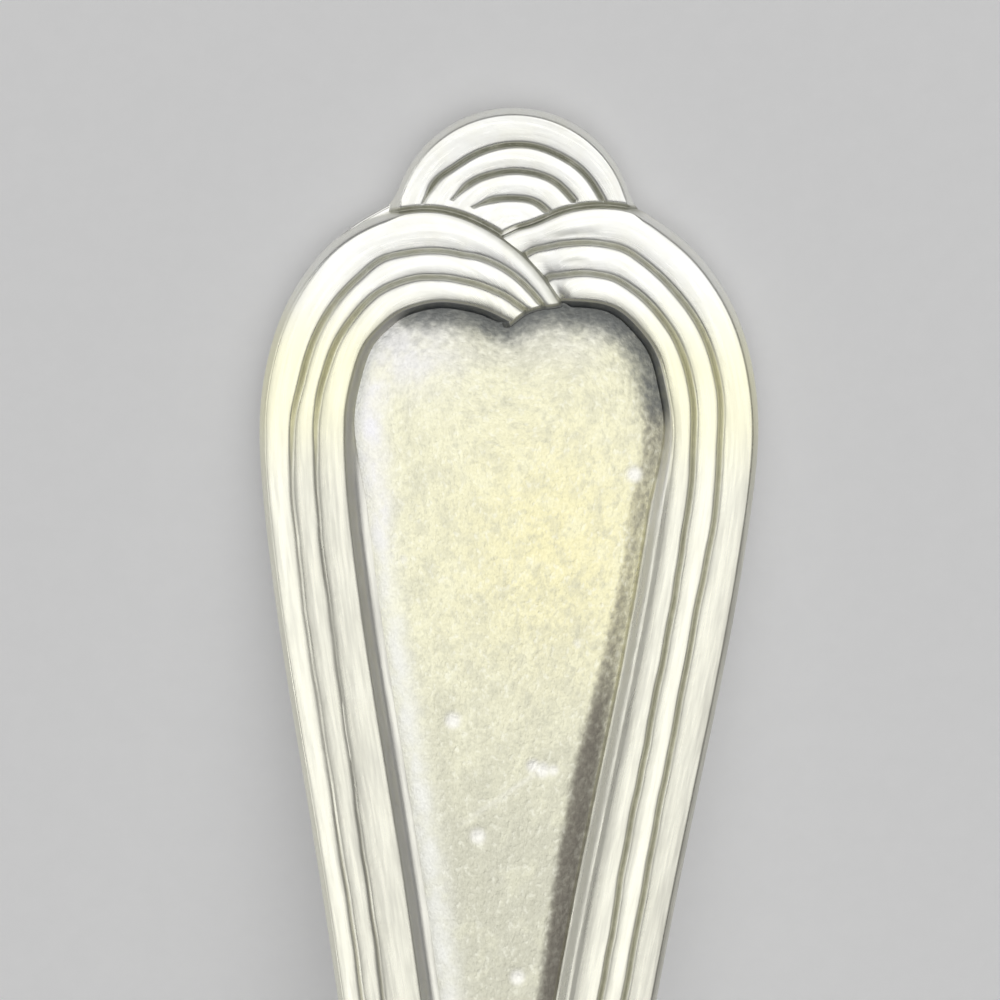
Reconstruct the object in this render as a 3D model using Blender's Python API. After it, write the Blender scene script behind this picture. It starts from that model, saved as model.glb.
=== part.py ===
"""Teaspoon with a reeded border whose two ends cross at the handle's end.

Metres, +Z up. Origin at the bottom centre, the length along Y: handle's end at +Y, bowl at -Y and open to +Z.
Pieces of the handle are drawn flat in millimetres, as l (across), s (from the handle's end) and h (above the
blank's face), and then laid on the bent face of the blank by one mapping, `lay`.
"""

import math

import bmesh
import bpy
import numpy as np

# ---------------------------------------------------------------- driving dimensions, mm
LENGTH = 148.0  # overall
HANDLE_END = LENGTH / 2  # y of the handle's end
BOWL_END = -LENGTH / 2  # y of the bowl's tip
BOWL_WIDEST = -47.0  # y of the widest place
BOWL_HALF_WIDTH = 15.6
BOWL_DEPTH = 7.85  # inside, below the rim
BOWL_WALL = 1.12
RIM = 1.0  # width of the rim's land
RIM_DROP = 0.28  # how far the rim's two corners are rounded down
DOME_RADIUS = 4.82  # the rounded top of the handle's end
GAP = 0.10  # between neighbouring pieces, across
FILM = 0.05  # between a piece and the blank under it
REED_TOP = 0.76  # crown of the reeds above the blank
REED_ROOT = 0.40  # bottom of the grooves between the reeds
PANEL_TOP = 0.24  # face of the inlay above the blank
CREST_TOP = 0.66
REEDS_END = 76.0  # s where the reeds run out on the stem
PANEL_POINT = 57.0  # s of the inlay's lower point
SOLDER = 0.15  # thickness of the film in the scarf joint
SCARF_TOP = -17.0  # y where the joint meets the stem's face
SCARF_BACK = -8.0  # y where it meets the stem's back
MM = 0.001


# ---------------------------------------------------------------- curves
def spline(points):
    """Natural cubic through the points, as a function of the first coordinate."""
    x, v = np.array(sorted(points), float).T
    n, h = len(x), np.diff(x)
    a, r = np.eye(n), np.zeros(n)
    for i in range(1, n - 1):
        a[i, i - 1 : i + 2] = h[i - 1], 2 * (h[i - 1] + h[i]), h[i]
        r[i] = 6 * ((v[i + 1] - v[i]) / h[i] - (v[i] - v[i - 1]) / h[i - 1])
    m = np.linalg.solve(a, r)

    def at(t):
        i = min(max(int(np.searchsorted(x, t)) - 1, 0), n - 2)
        p, q = x[i + 1] - t, t - x[i]
        bend = (m[i] * p**3 + m[i + 1] * q**3) / (6 * h[i])
        return float(bend + (v[i] / h[i] - m[i] * h[i] / 6) * p + (v[i + 1] / h[i] - m[i + 1] * h[i] / 6) * q)

    return at


def steady(points):
    """Cubic through the points that never overshoots them."""
    x, v = np.array(sorted(points), float).T
    h = np.diff(x)
    d = np.diff(v) / h
    m = np.concatenate([[d[0]], np.zeros(len(x) - 2), [d[-1]]])
    for i in range(1, len(x) - 1):
        if d[i - 1] * d[i] > 0:
            m[i] = 3 * (h[i - 1] + h[i]) / ((2 * h[i] + h[i - 1]) / d[i - 1] + (h[i] + 2 * h[i - 1]) / d[i])

    def at(t):
        i = min(max(int(np.searchsorted(x, t)) - 1, 0), len(h) - 1)
        u = min(max((t - x[i]) / h[i], 0.0), 1.0)
        return float(
            v[i] * (1 + 2 * u) * (1 - u) ** 2
            + v[i + 1] * u * u * (3 - 2 * u)
            + h[i] * u * (1 - u) * (m[i] * (1 - u) - m[i + 1] * u)
        )

    return at


def ease(t):
    t = min(max(t, 0.0), 1.0)
    return t * t * (3 - 2 * t)


# ---------------------------------------------------------------- the spoon's lines, by y or by s
# height of the edge (rim of the bowl, face of the handle) along the length
edge_line = spline(
    [
        (-74, 9.75), (-66, 9.3), (-57, 8.91), (-47, 8.80), (-40, 9.05), (-35, 9.5), (-31, 10.15), (-28, 10.95),
        (-25, 12.05), (-22, 13.3), (-18, 14.75), (-13, 15.85), (-6, 16.15), (8, 14.65), (26, 10.55), (44, 5.55),
        (57, 2.48), (66, 1.28), (70, 1.26), (74, 1.46),
    ]
)  # fmt: skip


def tip_share(y, end):
    """0 at the bowl's widest place, 1 at its tip."""
    return min((BOWL_WIDEST - y) / (BOWL_WIDEST - end), 1.0)


def egg(y):
    return BOWL_HALF_WIDTH * (1 - tip_share(y, BOWL_END) ** 2) ** 0.54


def hollow(y):
    return BOWL_DEPTH * (1 - tip_share(y, BOWL_END + RIM) ** 2.4)


neck_half_width = spline(
    [(y, egg(y)) for y in (-60, -56, -52, -49)]
    + [
        (-44, 15.42), (-40, 14.65), (-37, 13.6), (-34, 11.95), (-31, 9.5), (-28.5, 7.0), (-26, 5.0), (-23.5, 3.75),
        (-20.5, 3.02), (-17, 2.68), (-12, 2.52), (-3, 2.5), (5, 2.54),
    ]
)  # fmt: skip
heel_depth = steady(
    [(-47, BOWL_DEPTH), (-42, 7.5), (-37, 6.5), (-33, 5.2), (-30, 3.9), (-27, 2.5), (-24, 1.25), (-21, 0.45), (-18, 0.1), (-15, 0), (80, 0)]
)
thickness = steady(
    [
        (-74, 0.9), (-66, BOWL_WALL), (-40, BOWL_WALL), (-35, 1.3), (-31, 1.7), (-28, 2.15), (-25, 2.55), (-21, 2.9),
        (-14, 3.0), (-5, 2.9), (10, 2.5), (25, 2.0), (38, 1.62), (50, 1.44), (60, 1.4), (74, 1.2),
    ]
)  # fmt: skip
back_roundness = steady([(-74, 2.2), (-30, 2.2), (-18, 2.5), (5, 2.6), (25, 3.6), (45, 6.0), (74, 6.5)])
side_land = steady([(-74, 0.05), (-28, 0.1), (-18, 0.45), (20, 0.45), (74, 0.38)])
rim_land = steady([(-74, RIM), (-31, RIM), (-22, 0.25), (80, 0.12)])
rim_drop = steady([(-74, RIM_DROP), (-31, RIM_DROP), (-22, 0.05), (-15, 0), (80, 0)])

# distance along the face from the handle's end, for the flat drawing
_ys = np.linspace(HANDLE_END, -40, 2281)
_zs = np.array([edge_line(y) for y in _ys])
_run = np.concatenate([[0], np.cumsum(np.hypot(np.diff(_ys), np.diff(_zs)))])


def y_at(s):
    return float(np.interp(s, _run, _ys))


def s_at(y):
    return float(np.interp(-y, -_ys, _run))


shoulder = spline(
    [
        (3.9, 4.75), (4.3, 5.45), (4.92, 6.41), (5.72, 7.34), (6.52, 8.03), (7.32, 8.57), (8.9, 9.31), (10.5, 9.76),
        (12.5, 9.98), (16, 9.76), (20, 9.2), (24, 8.5), (28, 7.74), (32, 7.0), (36, 6.31), (40, 5.66), (45, 4.92),
        (50, 4.28), (56, 3.62), (62, 3.14), (70, 2.74), (78, 2.55), (86, 2.5), (94, 2.56),
    ]
)  # fmt: skip


def handle_half_width(s):
    dome = math.sqrt(max(2 * DOME_RADIUS * s - s * s, 0)) if s < DOME_RADIUS else 0
    return max(dome, shoulder(s)) if s > 3.6 else dome


def half_width(y):
    if y <= -50:
        return egg(y)
    if y <= 0:
        return neck_half_width(y)
    return handle_half_width(s_at(y))


def lay(l, s, h):
    """A point of the flat drawing, on the bent handle."""
    y = y_at(s)
    return (l * MM, y * MM, (edge_line(y) + h) * MM)


# ---------------------------------------------------------------- meshes
def keep(bm, name, collection):
    bmesh.ops.recalc_face_normals(bm, faces=bm.faces)
    mesh = bpy.data.meshes.new(name)
    bm.to_mesh(mesh)
    bm.free()
    obj = bpy.data.objects.new(name, mesh)
    collection.objects.link(obj)
    return obj


def loft(rings):
    bm = bmesh.new()
    rows = [[bm.verts.new(p) for p in ring] for ring in rings]
    for a, b in zip(rows, rows[1:]):
        for i in range(len(a)):
            j = (i + 1) % len(a)
            bm.faces.new((a[i], a[j], b[j], b[i]))
    bm.faces.new(rows[0][::-1])
    bm.faces.new(rows[-1])
    bmesh.ops.recalc_face_normals(bm, faces=bm.faces)
    return bm


def cut(bm, point, normal):
    """Takes away what lies on the normal's side of the plane and closes the cut."""
    made = bmesh.ops.bisect_plane(
        bm, geom=bm.verts[:] + bm.edges[:] + bm.faces[:], dist=1e-8, plane_co=point, plane_no=normal, clear_outer=True
    )
    rim = [e for e in made["geom_cut"] if isinstance(e, bmesh.types.BMEdge)]
    bmesh.ops.edgeloop_fill(bm, edges=rim)


def silver(name, colour, roughness, metallic=1.0):
    mat = bpy.data.materials.new(name)
    mat.use_nodes = True
    bsdf = mat.node_tree.nodes["Principled BSDF"]
    bsdf.inputs["Base Color"].default_value = (*colour, 1)
    bsdf.inputs["Roughness"].default_value = roughness
    bsdf.inputs["Metallic"].default_value = metallic
    return mat


# ---------------------------------------------------------------- bowl, stem and blank, one swept body
def section(y, across=12, under=12):
    """One ring, square to the length: inside of the bowl or face of the handle, rim, back."""
    w, edge = half_width(y), edge_line(y)
    land = min(rim_land(y), 0.4 * w)
    drop = min(rim_drop(y), 0.3 * w)
    inner, step = w - land, side_land(y)
    d = max(hollow(y) if y < BOWL_WIDEST else heel_depth(y), 0.0)
    deep = d + thickness(y) * (1 if y > -70 else ease(0.35 + 0.65 * (y - BOWL_END) / 4))
    ring = []
    for i in range(across + 1):
        x = inner * math.sin(math.pi * (i / across - 0.5))
        ring.append((x, edge - drop - max(d - drop, 0) * (1 - abs(x / inner) ** 2.2)))
    ring.append((w - land / 2, edge))
    ring.append((w, edge - drop - step))
    for i in range(1, under):
        x = w * math.cos(math.pi * i / under)
        fall = max(deep - drop - step, 0.05)
        ring.append((x, edge - drop - step - fall * (1 - abs(x / w) ** back_roundness(y))))
    ring.append((-w, edge - drop - step))
    ring.append((land / 2 - w, edge))
    return [(x * MM, y * MM, z * MM) for x, z in ring]


def core():
    tip = [BOWL_END + (BOWL_WIDEST - BOWL_END) * (1 - math.cos(math.radians(a))) for a in (3, 8, 14, 21, 29, 38, 48, 59, 70, 80)]
    middle = [BOWL_WIDEST, -43.5, -40, -37, -34.5, -32, -30, -28, -26, -24, -22, -20, -17, -14, -10, -5, 0, 6, 12, 18, 24]
    stations = [34, 31, 28, 25, 22, 19, 16.5, 14.5, 12.8, 11.2, 9.7, 8.4, 7.2, 6.2, 5.3, 4.6, 4.0, 3.4, 2.7, 2.0, 1.3, 0.7, 0.3, 0.08]
    end = [y_at(s) for s in [47, 43, 40, 37] + stations]
    return loft([section(y) for y in tip + middle + end])


def scarf_plane(offset):
    """A point and a normal of the joint's plane, moved toward the bowl's side by the offset."""
    top = np.array([0, SCARF_TOP, edge_line(SCARF_TOP)])
    back = np.array([0, SCARF_BACK, edge_line(SCARF_BACK) - thickness(SCARF_BACK)])
    run = top - back
    normal = np.array([0, -run[2], run[1]]) / np.linalg.norm(run)
    return (top + normal * offset) * MM, normal


# ---------------------------------------------------------------- the two reeded strips
def border_width(s):
    wide = steady([(13, 3.44), (16, 3.38), (20, 3.3), (28, 3.22), (36, 3.16), (44, 3.14), (50, 3.22), (54, 3.36), (PANEL_POINT, 3.45)])(s)
    return min(wide, shoulder(s) - GAP * 0.7) if s < PANEL_POINT else shoulder(s) - GAP * 0.7


def reed_fade(s):
    return 1.0 if s < 50 else 0.14 + 0.86 * (1 - ease((s - 50) / (REEDS_END - 50)))


# outer and inner edge of each strip where it turns over the shoulder and crosses: (l, s) pairs, side first
LEFT_TURN = [
    ((-9.78, 10.7), (-6.36, 11.3)), ((-9.33, 8.95), (-5.95, 9.85)), ((-8.57, 7.32), (-5.35, 8.98)),
    ((-7.40, 5.78), (-4.70, 8.38)), ((-6.10, 4.80), (-4.05, 8.04)), ((-4.80, 4.26), (-3.40, 7.85)),
    ((-3.40, 4.07), (-2.75, 7.77)), ((-2.20, 4.25), (-2.10, 7.82)), ((-1.20, 4.65), (-1.50, 7.93)),
    ((-0.25, 5.20), (-1.00, 8.10)), ((0.65, 5.92), (-0.60, 8.29)), ((1.40, 6.75), (-0.30, 8.49)),
    ((2.00, 7.65), (-0.08, 8.66)),
]  # fmt: skip
RIGHT_TURN = [
    ((9.78, 10.7), (6.30, 11.2)), ((9.33, 8.95), (5.92, 9.85)), ((8.57, 7.32), (5.38, 8.98)),
    ((7.40, 5.78), (4.85, 8.40)), ((6.20, 4.76), (4.32, 7.98)), ((5.05, 4.03), (3.75, 7.74)),
    ((4.00, 3.78), (3.20, 7.65)), ((3.00, 3.80), (2.75, 7.62)), ((2.10, 3.98), (2.42, 7.62)),
    ((1.40, 4.27), (2.26, 7.62)), ((0.72, 4.60), (2.18, 7.62)), ((0.15, 4.92), (2.14, 7.62)),
]  # fmt: skip


def strip_edges(side, turn):
    """Functions of the running number k that give the outer and inner edge; whole k are the drawn places."""
    straight = [s for s in (19, 16, 13)]
    outer = [(side * shoulder(s), s) for s in straight] + [o for o, _ in turn]
    inner = [(side * (shoulder(s) - border_width(s)), s) for s in straight] + [i for _, i in turn]
    lines = [[spline([(k, p[c]) for k, p in enumerate(edge)]) for c in (0, 1)] for edge in (outer, inner)]
    return [lambda k, e=e: np.array([lines[e][0](k), lines[e][1](k)]) for e in (0, 1)], len(outer) - 1


def reed_section(share):
    """(place across 0..1, height) around one strip, outer side first: three rounded reeds and two grooves."""
    one, two = share
    tops = [(0, REED_TOP * 0.55), (0.12 * one, REED_TOP * 0.84), (0.45 * one, REED_TOP), (0.82 * one, REED_TOP * 0.9), (one, REED_ROOT)]
    gap = two - one
    tops += [(one + 0.25 * gap, REED_TOP * 0.92), (one + 0.75 * gap, REED_TOP * 0.92), (two, REED_ROOT)]
    rest = 1 - two
    tops += [(two + 0.22 * rest, REED_TOP * 0.9), (two + 0.62 * rest, REED_TOP * 0.92), (two + 0.9 * rest, REED_TOP * 0.75), (1, REED_TOP * 0.5)]
    return [(0, 0)] + tops + [(1, 0)]


def strip(side, turn, trim=None):
    (outer, inner), last = strip_edges(side, turn)
    places = [(np.array([side * shoulder(s), s]), np.array([side * (shoulder(s) - border_width(s)), s])) for s in np.linspace(REEDS_END, 22, 19)]
    places += [(outer(k), inner(k)) for k in np.linspace(0, last, 2 * last + 1)]
    rings = []
    for o, i in places:
        ring = []
        for place, height in reed_section((0.42, 0.70)):
            l, s = o + (i - o) * place
            if trim is not None:
                l = max(l, trim(s))
            ring.append(lay(l, s, max(FILM, FILM + height * reed_fade(s))))
        rings.append(ring)
    return loft(rings)


# ---------------------------------------------------------------- flat plates laid on the blank
def plate(outline, low, high, cutters=()):
    """A flat outline filled and extruded, cut by groove tools, sliced into rows and laid on the handle."""
    curve = bpy.data.curves.new("outline", "CURVE")
    curve.dimensions, curve.fill_mode, curve.extrude = "2D", "BOTH", (high - low) / 2 * MM
    line = curve.splines.new("POLY")
    line.points.add(len(outline) - 1)
    for point, (l, s) in zip(line.points, outline):
        point.co = (l * MM, s * MM, 0, 1)
    line.use_cyclic_u = True
    flat = bpy.data.objects.new("outline", curve)
    bpy.context.scene.collection.objects.link(flat)
    depsgraph = bpy.context.evaluated_depsgraph_get()
    mesh = bpy.data.meshes.new_from_object(flat.evaluated_get(depsgraph))
    bpy.data.objects.remove(flat)
    bm = bmesh.new()
    bm.from_mesh(mesh)
    bmesh.ops.remove_doubles(bm, verts=bm.verts, dist=1e-7)
    for vert in bm.verts:
        vert.co.z += (low + high) / 2 * MM
    if cutters:
        body = keep(bm, "flat_plate", bpy.context.scene.collection)
        for cutter in cutters:
            groove = body.modifiers.new("groove", "BOOLEAN")
            groove.operation, groove.solver, groove.object = "DIFFERENCE", "EXACT", cutter
        depsgraph = bpy.context.evaluated_depsgraph_get()
        depsgraph.update()
        mesh = bpy.data.meshes.new_from_object(body.evaluated_get(depsgraph))
        bpy.data.objects.remove(body)
        bm = bmesh.new()
        bm.from_mesh(mesh)
        bmesh.ops.remove_doubles(bm, verts=bm.verts, dist=2e-6)
    reach = [v.co.y / MM for v in bm.verts]
    for s in np.arange(math.floor(min(reach)) + 1, max(reach), 2.5):
        bmesh.ops.bisect_plane(bm, geom=bm.verts[:] + bm.edges[:] + bm.faces[:], dist=1e-7, plane_co=(0, s * MM, 0), plane_no=(0, 1, 0))
    bmesh.ops.triangulate(bm, faces=bm.faces)
    for vert in bm.verts:
        l, s, h = (c / MM for c in vert.co)
        vert.co = lay(l, s, h)
    return bm


def groove_tool(name, points, width, height, collection):
    """A round bar along a line of the flat drawing, to cut a groove."""
    curve = bpy.data.curves.new(name, "CURVE")
    curve.dimensions, curve.bevel_depth, curve.bevel_resolution = "3D", width / 2 * MM, 1
    curve.use_fill_caps = True
    line = curve.splines.new("POLY")
    line.points.add(len(points) - 1)
    for point, (l, s) in zip(line.points, points):
        point.co = (l * MM, s * MM, height * MM, 1)
    bar = bpy.data.objects.new(name, curve)
    collection.objects.link(bar)
    depsgraph = bpy.context.evaluated_depsgraph_get()
    bm = bmesh.new()
    bm.from_mesh(bpy.data.meshes.new_from_object(bar.evaluated_get(depsgraph)))
    bpy.data.objects.remove(bar)
    bmesh.ops.remove_doubles(bm, verts=bm.verts, dist=1e-7)
    tool = keep(bm, name, collection)
    tool.display_type, tool.hide_render = "WIRE", True
    return tool


def inlay_outline():
    """Inside of both strips, less the gap: heart at the top, long point below."""
    (lo, li), left_last = strip_edges(-1, LEFT_TURN)
    (ro, ri), right_last = strip_edges(1, RIGHT_TURN)

    def inside(o, i):
        return tuple(i + (i - o) / np.linalg.norm(i - o) * GAP)

    rows = np.linspace(PANEL_POINT - 3.2, 22, 12)
    points = [(0.0, PANEL_POINT - 1.6)]
    points += [(-(shoulder(s) - border_width(s) - GAP), s) for s in rows]
    points += [inside(lo(k), li(k)) for k in np.linspace(0.5, left_last - 0.3, 34)]
    cusp, heel = li(left_last), lo(left_last)
    points += [(cusp[0] + 0.06, cusp[1] + GAP * 1.3), (heel[0] + 0.05, heel[1] + GAP * 1.4)]
    points += [inside(ro(k), ri(k)) for k in np.linspace(right_last - 3.5, 0.5, 28)]
    points += [(shoulder(s) - border_width(s) - GAP, s) for s in rows[::-1]]
    return points


def crest_outline():
    """The dome, closed below by the outer edges of the two crossing strips, less the gap."""
    (lo, _), left_last = strip_edges(-1, LEFT_TURN)
    (ro, _), right_last = strip_edges(1, RIGHT_TURN)
    points = [(DOME_RADIUS * math.sin(a), DOME_RADIUS * (1 - math.cos(a))) for a in np.radians(np.linspace(-74, 74, 33))]
    right = [ro(k) for k in np.linspace(8.2, right_last - 0.6, 13)]
    left = [lo(k) for k in np.linspace(left_last - 3.0, 8.2, 12)]
    return points + [(l, s - GAP * 1.2) for l, s in right + left if abs(l) < 4.45]


def arch(half, top, fall, lean=0.0):
    """A line of the crest's drawing: an arch of the given half span, its top at s = top, its ends lower by fall."""
    return [(half * u + lean, top + fall * abs(u) ** 2.2) for u in np.linspace(-1, 1, 15)]


# ---------------------------------------------------------------- build
for old in list(bpy.data.objects):
    bpy.data.objects.remove(old)
spoon = bpy.data.collections.new("teaspoon")
tools = bpy.data.collections.new("cutting_tools")
tools.hide_render = True
bpy.context.scene.collection.children.link(spoon)
bpy.context.scene.collection.children.link(tools)

polished = silver("polished_silver", (0.86, 0.85, 0.82), 0.22)
reeded = silver("reeded_silver", (0.88, 0.87, 0.83), 0.3)
matted = silver("matted_warm_silver", (0.63, 0.56, 0.42), 0.62, 0.8)
joint = silver("hard_solder", (0.66, 0.64, 0.60), 0.45)

bowl = core()
cut(bowl, *(lambda p, n: (p, -n))(*scarf_plane(SOLDER / 2 + FILM)))
cut(bowl, (0, 0, 0), (0, 0, -1))
keep(bowl, "bowl", spoon).data.materials.append(polished)

film = core()
cut(film, *scarf_plane(SOLDER / 2))
cut(film, *(lambda p, n: (p, -n))(*scarf_plane(-SOLDER / 2)))
keep(film, "scarf_solder", spoon).data.materials.append(joint)

blank = core()
cut(blank, *scarf_plane(-SOLDER / 2 - FILM))
cut(blank, (0, 0, 0), (0, 0, -1))
keep(blank, "handle_blank", spoon).data.materials.append(polished)

left_edges, left_count = strip_edges(-1, LEFT_TURN)
crossing = [left_edges[0](k) for k in np.linspace(left_count - 5, left_count, 21)]
under_line = spline([(s, l + GAP * 1.5) for l, s in crossing])


def under_left(s):
    """The right strip's end stops at the left strip's outer edge."""
    return under_line(s) if crossing[0][1] < s < crossing[-1][1] + 0.3 else -99.0


keep(strip(-1, LEFT_TURN), "left_reeded_border", spoon).data.materials.append(reeded)
keep(strip(1, RIGHT_TURN, under_left), "right_reeded_border", spoon).data.materials.append(reeded)
keep(plate(inlay_outline(), FILM, PANEL_TOP), "panel_inlay", spoon).data.materials.append(matted)

lines = [arch(3.55, 1.4, 2.3), arch(2.4, 2.48, 1.15), arch(1.4, 3.58, 0.35)]
bars = [groove_tool(f"crest_groove_{n}", line, 0.34, CREST_TOP, tools) for n, line in enumerate(lines)]
keep(plate(crest_outline(), FILM, CREST_TOP, bars), "crest", spoon).data.materials.append(reeded)
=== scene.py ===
"""Looks of the teaspoon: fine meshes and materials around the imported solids, in the solids' own frame.

Lengths are in millimetres in the drawing functions and in metres in Blender. The handle's end is drawn flat, as
l (across), s (from the handle's end) and h (above the blank's face), and laid on the bent blank by `lay`.
"""

import math

import bmesh
import bpy
import numpy as np
from mathutils import Matrix, Vector


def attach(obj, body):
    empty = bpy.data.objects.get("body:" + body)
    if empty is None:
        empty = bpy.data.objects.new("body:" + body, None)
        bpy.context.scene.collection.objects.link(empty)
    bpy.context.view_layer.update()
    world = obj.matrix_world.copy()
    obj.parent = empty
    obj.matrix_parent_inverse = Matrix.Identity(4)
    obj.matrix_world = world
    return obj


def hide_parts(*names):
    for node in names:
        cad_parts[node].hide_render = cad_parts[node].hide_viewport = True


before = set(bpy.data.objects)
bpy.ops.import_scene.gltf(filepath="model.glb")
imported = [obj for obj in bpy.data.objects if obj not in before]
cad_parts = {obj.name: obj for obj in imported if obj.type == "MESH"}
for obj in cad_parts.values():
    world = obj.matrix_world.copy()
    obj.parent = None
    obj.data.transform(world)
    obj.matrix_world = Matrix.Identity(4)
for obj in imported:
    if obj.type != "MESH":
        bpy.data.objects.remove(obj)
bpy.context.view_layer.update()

MM = 0.001
HANDLE_END, BOWL_END = 74.0, -74.0
BOWL_WIDEST, BOWL_HALF_WIDTH, BOWL_DEPTH, BOWL_WALL, RIM = -47.0, 15.6, 7.85, 1.12, 1.0
DOME_RADIUS = 4.82
REED_TOP, PANEL_TOP, CREST_TOP = 0.78, 0.22, 0.68
REEDS_END, PANEL_POINT = 76.0, 57.0
SOLDER, SCARF_TOP, SCARF_BACK = 0.15, -17.0, -8.0
WIDEST_S = 12.5  # s of the handle end's widest place


# ---------------------------------------------------------------- curves
class Line:
    """Natural cubic through the points, as a function of the first coordinate."""

    def __init__(self, points):
        x, v = np.array(sorted(points), float).T
        n, h = len(x), np.diff(x)
        a, r = np.eye(n), np.zeros(n)
        for i in range(1, n - 1):
            a[i, i - 1 : i + 2] = h[i - 1], 2 * (h[i - 1] + h[i]), h[i]
            r[i] = 6 * ((v[i + 1] - v[i]) / h[i] - (v[i] - v[i - 1]) / h[i - 1])
        self.x, self.v, self.h, self.m = x, v, h, np.linalg.solve(a, r)

    def __call__(self, t):
        t = np.asarray(t, float)
        i = np.clip(np.searchsorted(self.x, t) - 1, 0, len(self.h) - 1)
        p, q, h, m, v = self.x[i + 1] - t, t - self.x[i], self.h[i], self.m, self.v
        bend = (m[i] * p**3 + m[i + 1] * q**3) / (6 * h)
        return bend + (v[i] / h - m[i] * h / 6) * p + (v[i + 1] / h - m[i + 1] * h / 6) * q


class Steady:
    """Cubic through the points that never overshoots them, and stays level outside."""

    def __init__(self, points):
        x, v = np.array(sorted(points), float).T
        h = np.diff(x)
        d = np.diff(v) / h
        m = np.zeros(len(x))
        for i in range(1, len(x) - 1):
            if d[i - 1] * d[i] > 0:
                m[i] = 3 * (h[i - 1] + h[i]) / ((2 * h[i] + h[i - 1]) / d[i - 1] + (h[i] + 2 * h[i - 1]) / d[i])
        self.x, self.v, self.h, self.m = x, v, h, m

    def __call__(self, t):
        t = np.asarray(t, float)
        i = np.clip(np.searchsorted(self.x, t) - 1, 0, len(self.h) - 1)
        u = np.clip((t - self.x[i]) / self.h[i], 0, 1)
        v, m, h = self.v, self.m, self.h[i]
        return (
            v[i] * (1 + 2 * u) * (1 - u) ** 2
            + v[i + 1] * u * u * (3 - 2 * u)
            + h * u * (1 - u) * (m[i] * (1 - u) - m[i + 1] * u)
        )


def ease(t):
    t = np.clip(t, 0, 1)
    return t * t * (3 - 2 * t)


def wobble(t, seed, wave):
    """Smooth small unevenness along a line, between about -1 and 1."""
    t = np.asarray(t, float)
    total = 0
    for n in range(5):
        total = total + np.sin(t * (1 + 0.73 * n) * 2 * math.pi / wave + seed * (1.7 + n) + n * n) / (1 + 0.6 * n)
    return total / 2.2


# ---------------------------------------------------------------- the spoon's lines
edge_line = Line(
    [
        (-74, 9.75), (-66, 9.3), (-57, 8.91), (-47, 8.80), (-40, 9.05), (-35, 9.5), (-31, 10.15), (-28, 10.95),
        (-25, 12.05), (-22, 13.3), (-18, 14.75), (-13, 15.85), (-6, 16.15), (8, 14.65), (26, 10.55), (44, 5.55),
        (57, 2.48), (66, 1.28), (70, 1.26), (74, 1.46),
    ]
)  # fmt: skip


def hollow(y):
    return BOWL_DEPTH * (1 - np.clip((BOWL_WIDEST - y) / (BOWL_WIDEST - BOWL_END - RIM), 0, 1) ** 2.4)


def egg(y):
    return BOWL_HALF_WIDTH * (1 - ((BOWL_WIDEST - y) / (BOWL_WIDEST - BOWL_END)) ** 2) ** 0.54


neck_half_width = Line(
    [(y, egg(y)) for y in (-60, -56, -52, -49)]
    + [
        (-44, 15.42), (-40, 14.65), (-37, 13.6), (-34, 11.95), (-31, 9.5), (-28.5, 7.0), (-26, 5.0), (-23.5, 3.75),
        (-20.5, 3.02), (-17, 2.68), (-12, 2.52), (-3, 2.5), (5, 2.54),
    ]
)  # fmt: skip
heel_depth = Line(
    [(y, float(hollow(y))) for y in (-59, -55, -51)]
    + [(-47, BOWL_DEPTH), (-42, 7.5), (-37, 6.5), (-33, 5.2), (-30, 3.9), (-27, 2.5), (-24, 1.25), (-21, 0.45), (-18, 0.1), (-15, 0), (-12, 0), (-9, 0)]
)
thickness = Steady(
    [
        (-74, 0.9), (-66, BOWL_WALL), (-40, BOWL_WALL), (-35, 1.3), (-31, 1.7), (-28, 2.15), (-25, 2.55), (-21, 2.9),
        (-14, 3.0), (-5, 2.9), (10, 2.5), (25, 2.0), (38, 1.62), (50, 1.44), (60, 1.4), (74, 1.2),
    ]
)  # fmt: skip
back_flatness = Steady([(-30, 2.2), (-18, 2.25), (5, 2.3), (22, 3.2), (42, 6.5), (74, 7.5)])
back_curl = Steady([(-34, 1.0), (-20, 2.0)])
edge_land = Steady([(-31, RIM), (-22, 0.8), (-8, 0.75), (-1, 0.10)])
edge_bead = Steady([(-31, 0.42), (-22, 0.32), (-8, 0.30), (-1, 0.05)])
edge_wall = Steady([(-28, 0.0), (-14, 0.05), (-1, 0.30), (74, 0.34)])
stem_crown = Steady([(-24, 0.0), (-17, 0.22), (-8, 0.24), (-1, 0.0)])

_ys = np.linspace(HANDLE_END, -40, 11401)
_run = np.concatenate([[0], np.cumsum(np.hypot(np.diff(_ys), np.diff(edge_line(_ys))))])


def y_at(s):
    return np.interp(s, _run, _ys)


def s_at(y):
    return np.interp(-np.asarray(y, float), -_ys, _run)


shoulder = Line(
    [
        (3.9, 4.75), (4.3, 5.45), (4.92, 6.41), (5.72, 7.34), (6.52, 8.03), (7.32, 8.57), (8.9, 9.31), (10.5, 9.76),
        (12.5, 9.98), (16, 9.76), (20, 9.2), (24, 8.5), (28, 7.74), (32, 7.0), (36, 6.31), (40, 5.66), (45, 4.92),
        (50, 4.28), (56, 3.62), (62, 3.14), (70, 2.74), (78, 2.55), (86, 2.5), (94, 2.56),
    ]
)  # fmt: skip


def lay(l, s, h):
    """Points of the flat drawing on the bent handle, in metres."""
    y = y_at(s)
    return np.stack([np.broadcast_to(l, np.shape(y)) * MM, y * MM, (edge_line(y) + h) * MM], -1)


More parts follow.
